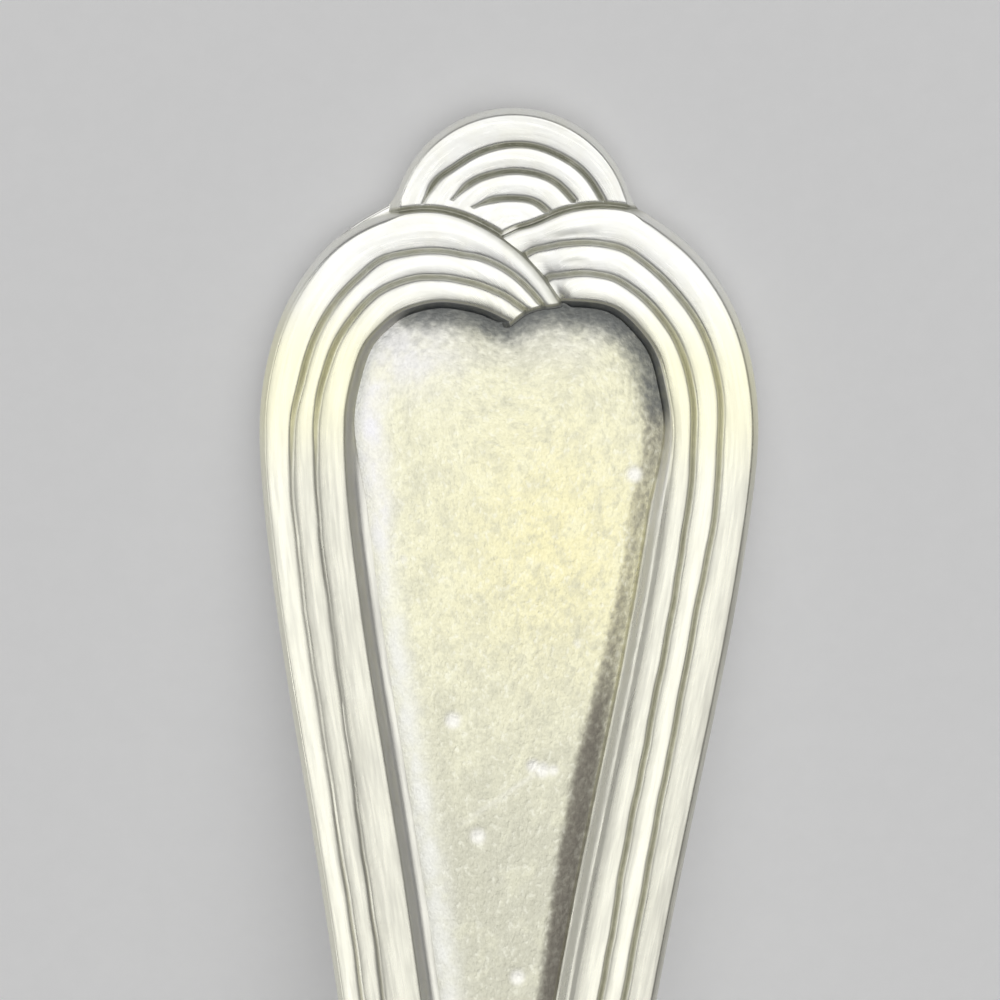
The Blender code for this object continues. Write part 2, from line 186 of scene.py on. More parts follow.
# ---------------------------------------------------------------- meshes
def grid_faces(rows, columns, closed=False):
    """Quads of a rows by columns grid of points; closed joins the last column to the first."""
    i, j = np.meshgrid(np.arange(rows - 1), np.arange(columns if closed else columns - 1), indexing="ij")
    k = (j + 1) % columns
    return np.stack([i * columns + j, i * columns + k, (i + 1) * columns + k, (i + 1) * columns + j], -1).reshape(-1, 4)


def mesh_object(name, points, faces, attributes=None, weld=0.0, sharp=None):
    """A smooth-shaded object from arrays. faces is a list of arrays, or of lists of corners."""
    mesh = bpy.data.meshes.new(name)
    mesh.from_pydata([tuple(p) for p in points.tolist()], [], [tuple(f) for group in faces for f in np.asarray(group).tolist()])
    for key, values in (attributes or {}).items():
        values = np.asarray(values, float)
        kind = "FLOAT" if values.ndim == 1 else "FLOAT_VECTOR"
        layer = mesh.attributes.new(key, kind, "POINT")
        layer.data.foreach_set("value" if kind == "FLOAT" else "vector", values.astype(np.float32).ravel())
    bm = bmesh.new()
    bm.from_mesh(mesh)
    if weld:
        bmesh.ops.remove_doubles(bm, verts=bm.verts, dist=weld)
        bmesh.ops.dissolve_degenerate(bm, edges=bm.edges, dist=1e-9)
    bmesh.ops.recalc_face_normals(bm, faces=bm.faces)
    bm.to_mesh(mesh)
    bm.free()
    finish_mesh(mesh, sharp)
    obj = bpy.data.objects.new(name, mesh)
    bpy.context.scene.collection.objects.link(obj)
    return obj


def finish_mesh(mesh, sharp=None):
    mesh.polygons.foreach_set("use_smooth", np.ones(len(mesh.polygons), bool))
    if sharp:
        mesh.set_sharp_from_angle(angle=math.radians(sharp))
    mesh.update()


def near(points, line):
    """Distance from each flat point to a drawn line, in mm."""
    a, b = line[:-1], line[1:]
    d = b - a
    length = np.maximum((d * d).sum(1), 1e-12)
    out = np.empty(len(points))
    for start in range(0, len(points), 4000):
        p = points[start : start + 4000, None, :]
        u = np.clip(((p - a) * d).sum(-1) / length, 0, 1)
        out[start : start + 4000] = np.sqrt((((p - a) - u[..., None] * d) ** 2).sum(-1).min(1))
    return out


# ---------------------------------------------------------------- bowl, stem and blank
def outline():
    """The spoon's whole outline, as (x, y), from the handle's end down the left side, round the bowl and back up."""
    dome = [(DOME_RADIUS * math.sin(a), DOME_RADIUS * (1 - math.cos(a))) for a in np.radians(np.linspace(0, 71, 44))]
    dome += [(4.68, 3.52), (4.78, 3.78), (4.93, 3.99)]
    down = [(float(shoulder(s)), s) for s in np.concatenate([np.linspace(4.08, 6, 22), np.linspace(6.1, WIDEST_S, 40)])]
    side = [(x, float(y_at(s))) for x, s in dome + down]
    stem_y = np.concatenate([np.linspace(y_at(WIDEST_S), 0, 150)[1:], np.linspace(0, -16, 50)[1:], np.linspace(-16, BOWL_WIDEST, 110)[1:]])
    side += [(float(shoulder(s_at(y)) if y > 0 else neck_half_width(y)), y) for y in stem_y]
    turn = np.radians(np.linspace(0, 90, 80)[1:])
    side += [(BOWL_HALF_WIDTH * abs(math.cos(a)) ** 1.08, BOWL_WIDEST - (BOWL_WIDEST - BOWL_END) * math.sin(a)) for a in turn]
    side = np.array(side)
    side[0, 0] = side[-1, 0] = 0
    left = side * [-1, 1]
    return np.concatenate([left, side[-2:0:-1]])


def core_points(rows_top=44, rows_bead=13, rows_back=44):
    """Points of the swept body: one row per step from the face's middle over the edge to the back's middle."""
    c = outline()
    along = np.roll(c, -1, 0) - np.roll(c, 1, 0)
    normal = np.stack([-along[:, 1], along[:, 0]], 1)
    normal /= np.linalg.norm(normal, axis=1, keepdims=True)
    normal *= np.where(normal[:, :1] * c[:, :1] > 1e-12, -1, 1)
    normal[np.abs(c[:, 0]) < 1e-9] = 0
    normal[0], normal[np.argmin(c[:, 1])] = (0, -1), (0, 1)
    y = c[:, 1]
    widest_y = float(y_at(WIDEST_S))
    in_bowl, in_end = y < BOWL_WIDEST, y > widest_y
    centre_y = np.where(in_bowl, BOWL_WIDEST, np.where(in_end, widest_y, y))
    land, bead, wall = edge_land(y), edge_bead(y), edge_wall(y)
    edge = edge_line(y)
    curl, flat = back_curl(y), back_flatness(y)
    rows = []

    def patch(contour, z_contour, lam, z_middle, power, root):
        px = contour[:, 0] * lam
        py = np.where(in_bowl | in_end, centre_y + (contour[:, 1] - centre_y) * lam, contour[:, 1])
        share = (1 - lam**power) ** (1 / root)
        pz = z_contour + (z_middle(py) - z_contour) * share
        return np.stack([px, py, pz], 1)

    inner = c + normal * land[:, None]
    inner_z = edge - 0.426 * bead

    def face_middle(py):
        at = np.where(in_bowl, BOWL_WIDEST, py)
        return edge_line(at) - np.maximum(heel_depth(np.clip(at, -50, -9)), 0) + stem_crown(at)

    for u in np.linspace(0, 1, rows_top):
        lam = math.sin(u * math.pi / 2)
        p = patch(inner, inner_z, lam, face_middle, 2.2, 1.0)
        p[in_end, 2] = edge_line(p[in_end, 1]) - 0.02
        rows.append(p)
    last = np.radians(180 + 35 * (2 - curl))
    a = land / (1 + math.cos(math.radians(35)))
    for u in np.linspace(0, 1, rows_bead + 1)[1:]:
        phi = math.radians(35) + (last - math.radians(35)) * u
        out = land - a * (math.cos(math.radians(35)) - np.cos(phi))
        p = c + normal * out[:, None]
        rows.append(np.column_stack([p, edge - bead * (1 - np.sin(phi))]))
    start, start_z = rows[-1][:, :2].copy(), rows[-1][:, 2].copy()
    start_z = start_z - wall

    def back_middle(py):
        at = np.where(in_bowl, BOWL_WIDEST, py)
        return edge_line(at) - np.maximum(heel_depth(np.clip(at, -50, -9)), 0) - thickness(at)

    for u in np.linspace(0, 1, rows_back):
        lam = math.cos(u * math.pi / 2)
        p = patch(start, start_z, lam, back_middle, flat, curl)
        if u > 0:
            follow = edge_line(p[:, 1]) - edge
            level = start_z + follow * in_end
            share = (1 - lam**flat) ** (1 / curl)
            p[:, 2] = np.where(in_end, level + (back_middle(p[:, 1]) - level) * share, p[:, 2])
        p[:, 2] = np.maximum(p[:, 2], 0)
        rows.append(p)
    return np.array(rows)


def core_mesh():
    rows = core_points()
    count, columns = rows.shape[:2]
    points = rows.reshape(-1, 3)
    bm = bmesh.new()
    verts = [bm.verts.new(p) for p in (points * MM).tolist()]
    for f in grid_faces(count, columns, closed=True).tolist():
        bm.faces.new([verts[k] for k in f])
    bmesh.ops.remove_doubles(bm, verts=bm.verts, dist=2e-7)
    bmesh.ops.dissolve_degenerate(bm, edges=bm.edges, dist=1e-8)
    bmesh.ops.recalc_face_normals(bm, faces=bm.faces)
    return bm


def cut(bm, point, normal):
    made = bmesh.ops.bisect_plane(
        bm, geom=bm.verts[:] + bm.edges[:] + bm.faces[:], dist=1e-8, plane_co=point, plane_no=normal, clear_outer=True
    )
    rim = [e for e in made["geom_cut"] if isinstance(e, bmesh.types.BMEdge)]
    bmesh.ops.edgeloop_fill(bm, edges=rim)


def scarf_plane(offset):
    top = np.array([0, SCARF_TOP, float(edge_line(SCARF_TOP))])
    back = np.array([0, SCARF_BACK, float(edge_line(SCARF_BACK) - thickness(SCARF_BACK))])
    run = top - back
    normal = np.array([0, -run[2], run[1]]) / np.linalg.norm(run)
    return (top + normal * offset) * MM, normal


def core_piece(name, whole, keep_bowl=None, keep_handle=None):
    """A copy of the swept body between two planes of the joint."""
    bm = whole.copy()
    if keep_bowl is not None:
        point, normal = scarf_plane(keep_bowl)
        cut(bm, point, -normal)
    if keep_handle is not None:
        cut(bm, *scarf_plane(keep_handle))
    bmesh.ops.recalc_face_normals(bm, faces=bm.faces)
    mesh = bpy.data.meshes.new(name)
    bm.to_mesh(mesh)
    bm.free()
    co = np.empty(len(mesh.vertices) * 3, np.float32)
    mesh.vertices.foreach_get("co", co)
    layer = mesh.attributes.new("flow", "FLOAT_VECTOR", "POINT")
    layer.data.foreach_set("vector", co / MM)
    finish_mesh(mesh, 40)
    obj = bpy.data.objects.new(name, mesh)
    bpy.context.scene.collection.objects.link(obj)
    return obj


# ---------------------------------------------------------------- the two reeded strips
LEFT_TURN = [
    ((-9.78, 10.7), (-6.36, 11.3)), ((-9.33, 8.95), (-5.95, 9.85)), ((-8.57, 7.32), (-5.35, 8.98)),
    ((-7.40, 5.78), (-4.70, 8.38)), ((-6.10, 4.80), (-4.05, 8.04)), ((-4.80, 4.26), (-3.40, 7.85)),
    ((-3.40, 4.07), (-2.75, 7.77)), ((-2.20, 4.25), (-2.10, 7.82)), ((-1.20, 4.65), (-1.50, 7.92)),
    ((-0.25, 5.20), (-1.00, 8.06)), ((0.65, 5.92), (-0.60, 8.22)), ((1.40, 6.75), (-0.30, 8.36)),
    ((2.00, 7.62), (-0.06, 8.48)),
]  # fmt: skip
RIGHT_TURN = [
    ((9.78, 10.7), (6.30, 11.2)), ((9.33, 8.95), (5.92, 9.85)), ((8.57, 7.32), (5.38, 8.98)),
    ((7.40, 5.78), (4.85, 8.40)), ((6.20, 4.76), (4.32, 7.98)), ((5.05, 4.03), (3.75, 7.74)),
    ((4.00, 3.78), (3.20, 7.65)), ((3.00, 3.80), (2.75, 7.62)), ((2.10, 3.98), (2.42, 7.62)),
    ((1.40, 4.27), (2.26, 7.62)), ((0.72, 4.58), (2.16, 7.63)), ((0.15, 4.77), (2.08, 7.64)),
    ((-0.50, 5.10), (1.98, 7.66)),
]  # fmt: skip
STRAIGHT = (31, 28, 25, 22, 19, 16, 13)
border_line = Steady(
    [(13, 3.46), (16, 3.48), (20, 3.5), (28, 3.48), (36, 3.42), (44, 3.32), (50, 3.30), (54, 3.37), (PANEL_POINT, 3.45)]
)


def border_width(s):
    s = np.asarray(s, float)
    return np.where(s < PANEL_POINT, np.minimum(border_line(s), shoulder(s) - 0.05), shoulder(s) - 0.05)


def running(s):
    """The running number of a straight station."""
    return (STRAIGHT[0] - np.asarray(s, float)) / (STRAIGHT[0] - STRAIGHT[1])


def shares(straight, turn):
    """Place of a groove across a strip, 0 at the outer edge to 1 at the inner, by running number."""
    return Steady([(float(running(s)), f) for s, f in straight] + [(len(STRAIGHT) + i, f) for i, f in enumerate(turn)])


class Strip:
    """One reeded strip. Its stations are numbered from the stem up to its end."""

    def __init__(self, side, turn, groove_one, groove_two):
        self.side, self.groove_one, self.groove_two = side, groove_one, groove_two
        outer = [(side * float(shoulder(s)), s) for s in STRAIGHT] + [o for o, _ in turn]
        inner = [(side * float(shoulder(s) - border_width(s)), s) for s in STRAIGHT] + [i for _, i in turn]
        self.lines = [[Line([(k, p[c]) for k, p in enumerate(edge)]) for c in (0, 1)] for edge in (outer, inner)]
        self.last = len(outer) - 1

    def edge(self, which, k):
        return np.stack([self.lines[which][0](k), self.lines[which][1](k)], -1)

    def stations(self, step):
        """Running numbers, outer and inner edge all along, from the stem to the end."""
        s = np.linspace(REEDS_END, STRAIGHT[1], 250)
        inset = 0.16 * ease((s - REEDS_END + 14) / 14)  # the lower end stays within the stem's rounded edge
        low = [self.side * (shoulder(s) - inset), self.side * (shoulder(s) - border_width(s))]
        k = np.linspace(1, self.last, int((self.last - 1) * step) + 1)[1:]
        edges = [np.concatenate([np.stack([low[e], s], -1), self.edge(e, k)]) for e in (0, 1)]
        return np.concatenate([running(s), k]), edges[0], edges[1]


LEFT = Strip(
    -1,
    LEFT_TURN,
    shares(
        [(56, 0.36), (38, 0.29), (30, 0.305), (22, 0.33), (16, 0.345), (13, 0.385)],
        (0.43, 0.438, 0.44, 0.45, 0.42, 0.445, 0.455, 0.45, 0.41, 0.38, 0.36, 0.35, 0.37),
    ),
    shares(
        [(56, 0.66), (38, 0.545), (30, 0.56), (22, 0.615), (16, 0.63), (13, 0.655)],
        (0.675, 0.69, 0.70, 0.70, 0.71, 0.72, 0.74, 0.74, 0.73, 0.717, 0.69, 0.675, 0.70),
    ),
)
RIGHT = Strip(
    1,
    RIGHT_TURN,
    shares(
        [(56, 0.38), (35, 0.39), (30, 0.40), (25, 0.43), (20, 0.44), (16, 0.42), (13, 0.44)],
        (0.41, 0.42, 0.43, 0.44, 0.43, 0.41, 0.40, 0.385, 0.37, 0.345, 0.335, 0.35, 0.375),
    ),
    shares(
        [(56, 0.68), (35, 0.66), (30, 0.695), (25, 0.715), (20, 0.725), (16, 0.73), (13, 0.75)],
        (0.72, 0.73, 0.735, 0.735, 0.73, 0.72, 0.715, 0.707, 0.706, 0.695, 0.695, 0.705, 0.725),
    ),
)


def reed_fade(s):
    return np.where(s < 46, 1.0, 0.02 + 0.98 * (1 - ease((s - 46) / (REEDS_END - 46))))


def clustered(n):
    return (1 - np.cos(np.linspace(0, math.pi, n + 1))) / 2


def smoother(t):
    t = np.clip(t, 0, 1)
    return t**3 * (t * (6 * t - 15) + 10)


REED_SAG = 0.085  # how far a reed falls from its crown to its grooves
GROOVE_DEPTH, GROOVE_WIDTH = 0.15, 0.075
WALL_START, WALL_REACH = 0.15, 0.50  # the inner wall begins this far before the inner edge and ends this far after it
WALL_FOOT = PANEL_TOP - 0.06


def wall_reach(side, s):
    """How far the inner wall runs out past the inner edge. Below the shoulder it is a broad slope."""
    return WALL_REACH + (0.38 if side > 0 else 0.34) * ease((s - 12.5) / 4)


def strip_sections(strip, outer, inner, k, climb, rounding, carve):
    """Flat points, heights and groove distances of all stations of one strip."""
    n = len(outer)
    s_mid = (outer[:, 1] + inner[:, 1]) / 2
    width = np.linalg.norm(inner - outer, axis=1)[:, None]
    inward = (inner - outer) / width
    uneven = np.interp(s_mid, [10, 16, 40, 50], [0.004, 0.009, 0.009, 0.004])
    one = (strip.groove_one(k) + uneven * wobble(s_mid, 1.3 + strip.side, 8.0))[:, None] * width
    two = (strip.groove_two(k) + uneven * wobble(s_mid, 4.1 + strip.side, 6.0))[:, None] * width
    reach = wall_reach(strip.side, s_mid)
    reach = np.minimum(reach, np.where(s_mid < 20, reach, np.maximum(np.abs(inner[:, 0]) - 0.03, 0.02)))[:, None]
    rounding = rounding[:, None]
    near_groove = 0.27
    quarter = 1 - np.cos(np.linspace(0, math.pi / 2, 15))
    spans = [
        (np.zeros((n, 1)), rounding, quarter),
        (rounding, one - near_groove, np.linspace(0, 1, 8)[1:]),
        (one - near_groove, one + near_groove, np.linspace(0, 1, 17)[1:]),
        (one + near_groove, two - near_groove, np.linspace(0, 1, 8)[1:]),
        (two - near_groove, two + near_groove, np.linspace(0, 1, 17)[1:]),
        (two + near_groove, width - WALL_START, np.linspace(0, 1, 8)[1:]),
        (width - WALL_START, width + reach, np.linspace(0, 1, 20)[1:]),
    ]
    x = np.concatenate([a + (b - a) * t for a, b, t in spans], 1)
    low = np.where(x < one, 0, np.where(x < two, one, two))
    high = np.where(x < one, one, np.where(x < two, two, width))
    t = np.clip((x - low) / (high - low), 0, 1)
    top = REED_TOP * (1 + 0.02 * wobble(s_mid, 2.2 + strip.side, 13.0))[:, None]
    d_one, d_two = np.abs(x - one), np.abs(x - two)
    groove = np.exp(-((d_one / GROOVE_WIDTH) ** 1.6)) + np.exp(-((d_two / GROOVE_WIDTH) ** 1.6))
    h = top - REED_SAG * (2 * t - 1) ** 2 - GROOVE_DEPTH * carve[:, None] * groove
    h = h * np.sqrt(np.clip(1 - (1 - np.minimum(x / rounding, 1)) ** 2, 0, 1))
    # the left wall is a cove below the shoulder: steep at its upper edge, then running out flat into the panel
    cove = 1 + (1.0 * ease((s_mid - 12.5) / 4)[:, None] if strip.side < 0 else 0)
    down = smoother(1 - (1 - np.clip((x - (width - WALL_START)) / (reach + WALL_START), 0, 1)) ** cove)
    h = h + (WALL_FOOT - h) * down
    h = h * reed_fade(s_mid)[:, None] + climb[:, None] * ease(h / 0.4)
    h[:, 0] = 0
    h = np.maximum(h, 0) - 0.05 * ease((s_mid - REEDS_END + 6) / 6)[:, None]
    flat = outer[:, None, :] + inward[:, None, :] * x[..., None]
    return flat, h, x, width, d_one, d_two, down


def strip_object(name, strip, k, outer, inner, climb, rounding, carve, bow, groove_dark, edge_dark, wall_shade, wear_and_shade_at, end_wall=None, strokes=()):
    flat, h, x, width, d_one, d_two, down = strip_sections(strip, outer, inner, k, climb, rounding, carve)
    flat[..., 1] += bow(np.clip(x / width, 0, 1))
    fade = np.sqrt(reed_fade((outer[:, 1] + inner[:, 1]) / 2))[:, None]
    dark = np.maximum(np.exp(-((d_one / 0.095) ** 2)), np.exp(-((d_two / 0.095) ** 2))) * groove_dark[:, None]
    line = np.interp(k, [strip.last - 6, strip.last - 3], [0.11, 0.30 if strip.side < 0 else 0.11])[:, None]
    dark = np.maximum(dark, np.exp(-((x / line) ** 2)) * edge_dark[:, None])
    for points in strokes:
        points = np.array(points, float)
        close = near(flat.reshape(-1, 2), points).reshape(h.shape)
        along = np.linalg.norm(flat - points.mean(0), axis=-1) / np.linalg.norm(points[-1] - points[0])
        stroke = np.exp(-((close / 0.075) ** 2)) * np.clip(1 - (2 * along) ** 2, 0, 1)
        h = h - 0.03 * stroke
        dark = np.maximum(dark, 0.40 * stroke)
    dark = dark * fade
    flat_foot = ease((down - 0.75) / 0.25) * ease(((outer + inner)[:, 1] / 2 - 12.5) / 4)[:, None] if strip.side < 0 else 0
    # painted shade on the strips' inner walls, set per station; lighter on the left cove's flat foot
    painted_wall_shade = wall_shade[:, None] * ease(down * 5) * fade * (1 - 0.72 * flat_foot)
    place = np.clip(x / width, 0, 1)
    wear_and_shade = wear_and_shade_at(place) * np.interp((outer + inner)[:, 1] / 2, [36, 54], [1, 0.1])[:, None]
    run = np.concatenate([[0], np.cumsum(np.linalg.norm(np.diff((outer + inner) / 2, axis=0), axis=1))])
    run = np.broadcast_to(run[:, None], x.shape)
    if end_wall is not None:
        # the cut end wall drops into the panel and takes heavy painted shade
        for t in np.linspace(0, 1, 12)[1:]:
            flat = np.concatenate([flat, flat[len(outer) - 1 : len(outer)] + np.array(end_wall) * t])
            last = h[len(outer) - 1 : len(outer)]
            h = np.concatenate([h, last + (WALL_FOOT - last) * smoother(t)])
            dark = np.concatenate([dark, dark[len(outer) - 1 : len(outer)] * (1 - ease(t))])
            painted_wall_shade = np.concatenate([painted_wall_shade, np.maximum(painted_wall_shade[len(outer) - 1 : len(outer)], 0.95 * ease(t * 1.2))])
            x, run, wear_and_shade = np.concatenate([x, x[-1:]]), np.concatenate([run, run[-1:] + 0.04]), np.concatenate([wear_and_shade, wear_and_shade[-1:]])
    n = len(flat)
    # two points under the strip close the ring
    flat = np.concatenate([flat, flat[:, -1:], flat[:, :1] + (flat[:, 3:4] - flat[:, :1]) * 0.5], 1)
    h = np.concatenate([h, np.full((n, 2), -0.08)], 1)
    dark = np.concatenate([dark, np.ones((n, 2))], 1)
    painted_wall_shade = np.concatenate([painted_wall_shade, np.ones((n, 2))], 1)
    x = np.concatenate([x, x[:, -1:], x[:, :1]], 1)
    wear_and_shade = np.concatenate([wear_and_shade, wear_and_shade[:, -2:]], 1)
    run = np.concatenate([run, run[:, -2:]], 1)
    columns = x.shape[1]
    points = lay(flat[..., 0], flat[..., 1], h).reshape(-1, 3)
    faces = [grid_faces(n, columns, closed=True), [list(range(columns))], [[(n - 1) * columns + c for c in range(columns)]]]
    flow = np.stack([run, x, np.full_like(x, strip.side * 40.0)], -1).reshape(-1, 3)
    place = np.concatenate([flat, h[..., None]], -1).reshape(-1, 3)
    return mesh_object(name, points, faces, {"dark": dark.ravel(), "painted_wall_shade": painted_wall_shade.ravel(), "wear_and_shade": wear_and_shade.ravel(), "flow": flow, "place": place}, sharp=50)


def build_left():
    k, outer, inner = LEFT.stations(15)
    to_end = LEFT.last - k
    climb = 0.16 * (1 - ease(to_end / 4.5))
    beside_crest = ease((k - 11.6) / 0.8)
    rounding = 0.31 - 0.15 * beside_crest
    near_end = np.clip(1 - to_end / 1.3, 0, 1) ** 1.5

    def bow(place):
        return -0.24 * np.sin(np.pi * place**1.4) * near_end[:, None]

    lines = np.interp(k, [-1, 1.7, 5.2, 6.6], [0.16, 0.05, 0.08, 0.52])
    carve = np.interp(k, [-15, -5, 0, 1.7, 3.5, 5.4, 7.0], [0.85, 0.45, 0.30, 0.17, 0.18, 0.26, 1.0])
    # painted shade on the inner wall, heaviest under the heart at the strip's end
    wall = np.interp(k, [0, 6, 8, 9.5, 11.5], [0.56, 0.56, 0.56, 0.66, 0.92])

    # grey streaks on the lower left reeds, heavier towards the inner side
    def wear_and_shade_at(place):
        return np.interp(k, [5.2, 6.6], [1.0, 0.0])[:, None] * (0.03 + 0.46 * ease((place - 0.22) / 0.2) * (0.65 + 0.35 * place))

    return strip_object(
        "left_reeded_border_fine", LEFT, k, outer, inner, climb, rounding, carve, bow, lines, beside_crest, wall, wear_and_shade_at, end_wall=(0.10, 0.46)
    )


def build_right():
    k, outer, inner = RIGHT.stations(15)
    to_end = RIGHT.last - k
    dip = -0.13 * (1 - ease(to_end / 5.0))
    beside_crest = ease((k - 11.7) / 0.6)
    rounding = 0.31 - 0.15 * beside_crest
    near_end = np.clip(1 - to_end / 3.0, 0, 1)

    def bow(place):
        return -0.20 * np.sin(np.pi * place) * near_end[:, None]

    edge_dark = beside_crest * ease((to_end - 0.9) / 0.5)
    strokes = [[(1.25, 5.08), (2.2, 4.92), (3.65, 4.84)], [(1.9, 6.12), (2.5, 6.0), (3.1, 5.98)]]
    lines = np.interp(k, [1, 5, 6.5, RIGHT.last - 0.6, RIGHT.last], [0.7, 0.62, 0.55, 0.55, 0.25])
    carve = np.interp(k, [-15, -5, 5.2, 7.0], [0.9, 0.82, 0.8, 1.0])
    # painted shade on the inner wall: little down the right side, heavy under the heart
    wall = np.interp(k, [0, 4.6, 5.6, 6.6, 7.6], [0.05, 0.05, 0.5, 0.84, 0.92])

    # painted shade on the right outer reed's rounding, darker towards its outer edge, and a little on the inner reed
    def wear_and_shade_at(place):
        outer_reed = 1 - ease((place - 0.06) / 0.34)
        inner_reed = ease((place - 0.70) / 0.1)
        return np.interp(k, [0, 4.5, 7.5], [1.0, 0.8, 0.0])[:, None] * np.maximum(outer_reed, 0.35 * inner_reed)

    return strip_object(
        "right_reeded_border_fine", RIGHT, k, outer, inner, dip, rounding, carve, bow, lines, edge_dark, wall, wear_and_shade_at, strokes=strokes
    )


# ---------------------------------------------------------------- crest
def dome_top(l):
    """s of the crest's upper edge: a circle that flares out at its foot."""
    a = np.abs(l)
    circle = DOME_RADIUS - np.sqrt(np.maximum(DOME_RADIUS**2 - a**2, 0.05))
    return np.where(a < 4.57, circle, np.interp(a, [4.57, 4.68, 4.80, 4.97], [3.29, 3.55, 3.78, 4.0]))


def crest_floor_line():
    """Lower boundary of the crest: along both strips' outer edges, left to right."""
    left = LEFT.edge(0, np.linspace(11.5, LEFT.last - 3.25, 90))
    right = RIGHT.edge(0, np.linspace(RIGHT.last - 0.06, 11.6, 120))
    left = left[left[:, 0] < right[0, 0] - 0.02]
    return np.concatenate([left, right])


def arch_line(points):
    """A drawn groove of the crest, smooth through a few points, left to right."""
    line = Line(points)
    l = np.linspace(points[0][0], points[-1][0], 80)
    return np.stack([l, line(l)], -1)


CREST_GROOVES = [
    [(-3.62, 3.85), (-3.3, 3.2), (-2.6, 2.5), (-1.8, 1.95), (-0.9, 1.55), (0.1, 1.39), (1.0, 1.5), (2.0, 1.92), (2.9, 2.62), (3.32, 3.2), (3.62, 3.72)],
    [(-2.45, 3.68), (-2.0, 3.2), (-1.0, 2.65), (0.05, 2.47), (1.0, 2.6), (1.8, 3.0), (2.38, 3.6)],
    [(-1.62, 3.97), (-1.0, 3.7), (0.15, 3.57), (1.0, 3.79), (1.42, 4.14)],
]


def build_crest(columns=260, rows=250):
    floor = crest_floor_line()
    l = 4.97 * np.sin(np.linspace(-1, 1, columns) * math.pi / 2)
    top = dome_top(l)
    low = np.interp(l, floor[:, 0], floor[:, 1]) + 0.04
    v = 0.35 * clustered(rows) + 0.65 * np.linspace(0, 1, rows + 1)
    s = top[None, :] + (low - top)[None, :] * v[:, None]
    flat = np.stack([np.broadcast_to(l, s.shape), s], -1).reshape(-1, 2)
    d = np.full(len(flat), 9.0)
    for points in CREST_GROOVES:
        run_out = ease(np.hypot(*(flat - points[0]).T) / 0.9)  # the left end of a groove runs out thin
        d = np.minimum(d, near(flat, arch_line(points)) / (0.35 + 0.65 * run_out) + 0.06 * (1 - run_out))
    rim = near(flat, np.stack([l, top], -1))
    floor_d = near(flat, floor)
    clear = 1 - np.exp(-((floor_d / 0.16) ** 2))
    groove = np.exp(-((d / GROOVE_WIDTH) ** 1.6)) * clear
    h = CREST_TOP - 0.18 * groove - 0.06 * np.exp(-d / 0.25) * clear
    h -= 0.22 * np.exp(-((floor_d / 0.11) ** 2))
    h = h * np.sqrt(np.clip(1 - (1 - np.minimum(rim / 0.25, 1)) ** 2, 0.0, 1))
    h = np.maximum(h * ease((5.02 - np.abs(flat[:, 0])) / 0.55), 0.0)
    gap = ease((np.abs(flat[:, 0] + 0.15) - 0.15) / 0.25)
    dark = np.maximum(np.exp(-((d / 0.095) ** 2)) * clear, np.exp(-((floor_d / 0.10) ** 2)) * gap)
    n = len(v)
    grid = lay(flat[:, 0], flat[:, 1], h)
    base = lay(flat[:, 0], flat[:, 1], np.full(len(flat), -0.015))
    order = np.arange(n * columns).reshape(n, columns)
    ring = np.concatenate([order[0], order[1:, -1], order[-1, -2::-1], order[-2:0:-1, 0]])
    under = np.arange(len(ring)) + n * columns
    side = np.stack([ring, np.roll(ring, -1), np.roll(under, -1), under], -1)
    every = np.concatenate([flat, flat[ring]])
    heights = np.concatenate([h, np.zeros(len(ring))])[:, None]
    return mesh_object(
        "crest_fine",
        np.concatenate([grid, base[ring]]),
        [grid_faces(n, columns), side, [under.tolist()]],
        {
            "dark": np.concatenate([dark, np.ones(len(ring))]),
            "flow": np.column_stack([4.0 * np.arctan2(every[:, 0], 5.2 - every[:, 1]), np.hypot(every[:, 0], 5.2 - every[:, 1]), np.zeros(len(every))]),
            "place": np.concatenate([every, heights], 1),
        },
        sharp=60,
    )


# ---------------------------------------------------------------- panel
def panel_sides():
    """Left, right and top boundary of the panel, hidden a little way under the foot of the strips' inner walls."""

    def foot(strip, k):
        o, i = strip.edge(0, k), strip.edge(1, k)
        under = wall_reach(strip.side, (o + i)[:, 1] / 2) - 0.16
        return i + (i - o) / np.linalg.norm(i - o, axis=-1, keepdims=True) * under[:, None]

    def straight(side):
        reach = shoulder(low) - border_width(low) - wall_reach(side, low) + 0.16
        return np.stack([side * np.maximum(reach, 0.012 + 0.002 * (PANEL_POINT - low)), low], -1)

    low = np.linspace(PANEL_POINT - 0.6, STRAIGHT[1], 150)
    corner = 10.4
    left = np.concatenate([straight(-1), foot(LEFT, np.linspace(1, corner, 170))[1:]])
    right = np.concatenate([straight(1), foot(RIGHT, np.linspace(1, corner, 170))[1:]])
    lobe = foot(LEFT, np.linspace(corner, LEFT.last - 1.3, 70))
    tip = np.array([-0.14, 8.64])
    bend_in = np.array([hermite(lobe[-1], tip, np.array([0.55, 0.25]), np.array([0.35, 0.3]), u) for u in np.linspace(0, 1, 16)[1:]])
    cut_line = np.array([hermite(tip, np.array([2.12, 7.78]), np.array([0.5, -1.1]), np.array([2.2, -0.3]), u) for u in np.linspace(0, 1, 40)[1:]])
    right_lobe = foot(RIGHT, np.linspace(RIGHT.last - 3.6, corner, 80))
    right_lobe = right_lobe[right_lobe[:, 0] > 2.3]
    return left, right, np.concatenate([lobe, bend_in, cut_line, right_lobe])


def hermite(a, b, ta, tb, u):
    return a * (1 + 2 * u) * (1 - u) ** 2 + b * u * u * (3 - 2 * u) + ta * u * (1 - u) ** 2 - tb * u * u * (1 - u)


def resample(line, t):
    run = np.concatenate([[0], np.cumsum(np.linalg.norm(np.diff(line, axis=0), axis=1))])
    run /= run[-1]
    return np.stack([np.interp(t, run, line[:, c]) for c in (0, 1)], -1)


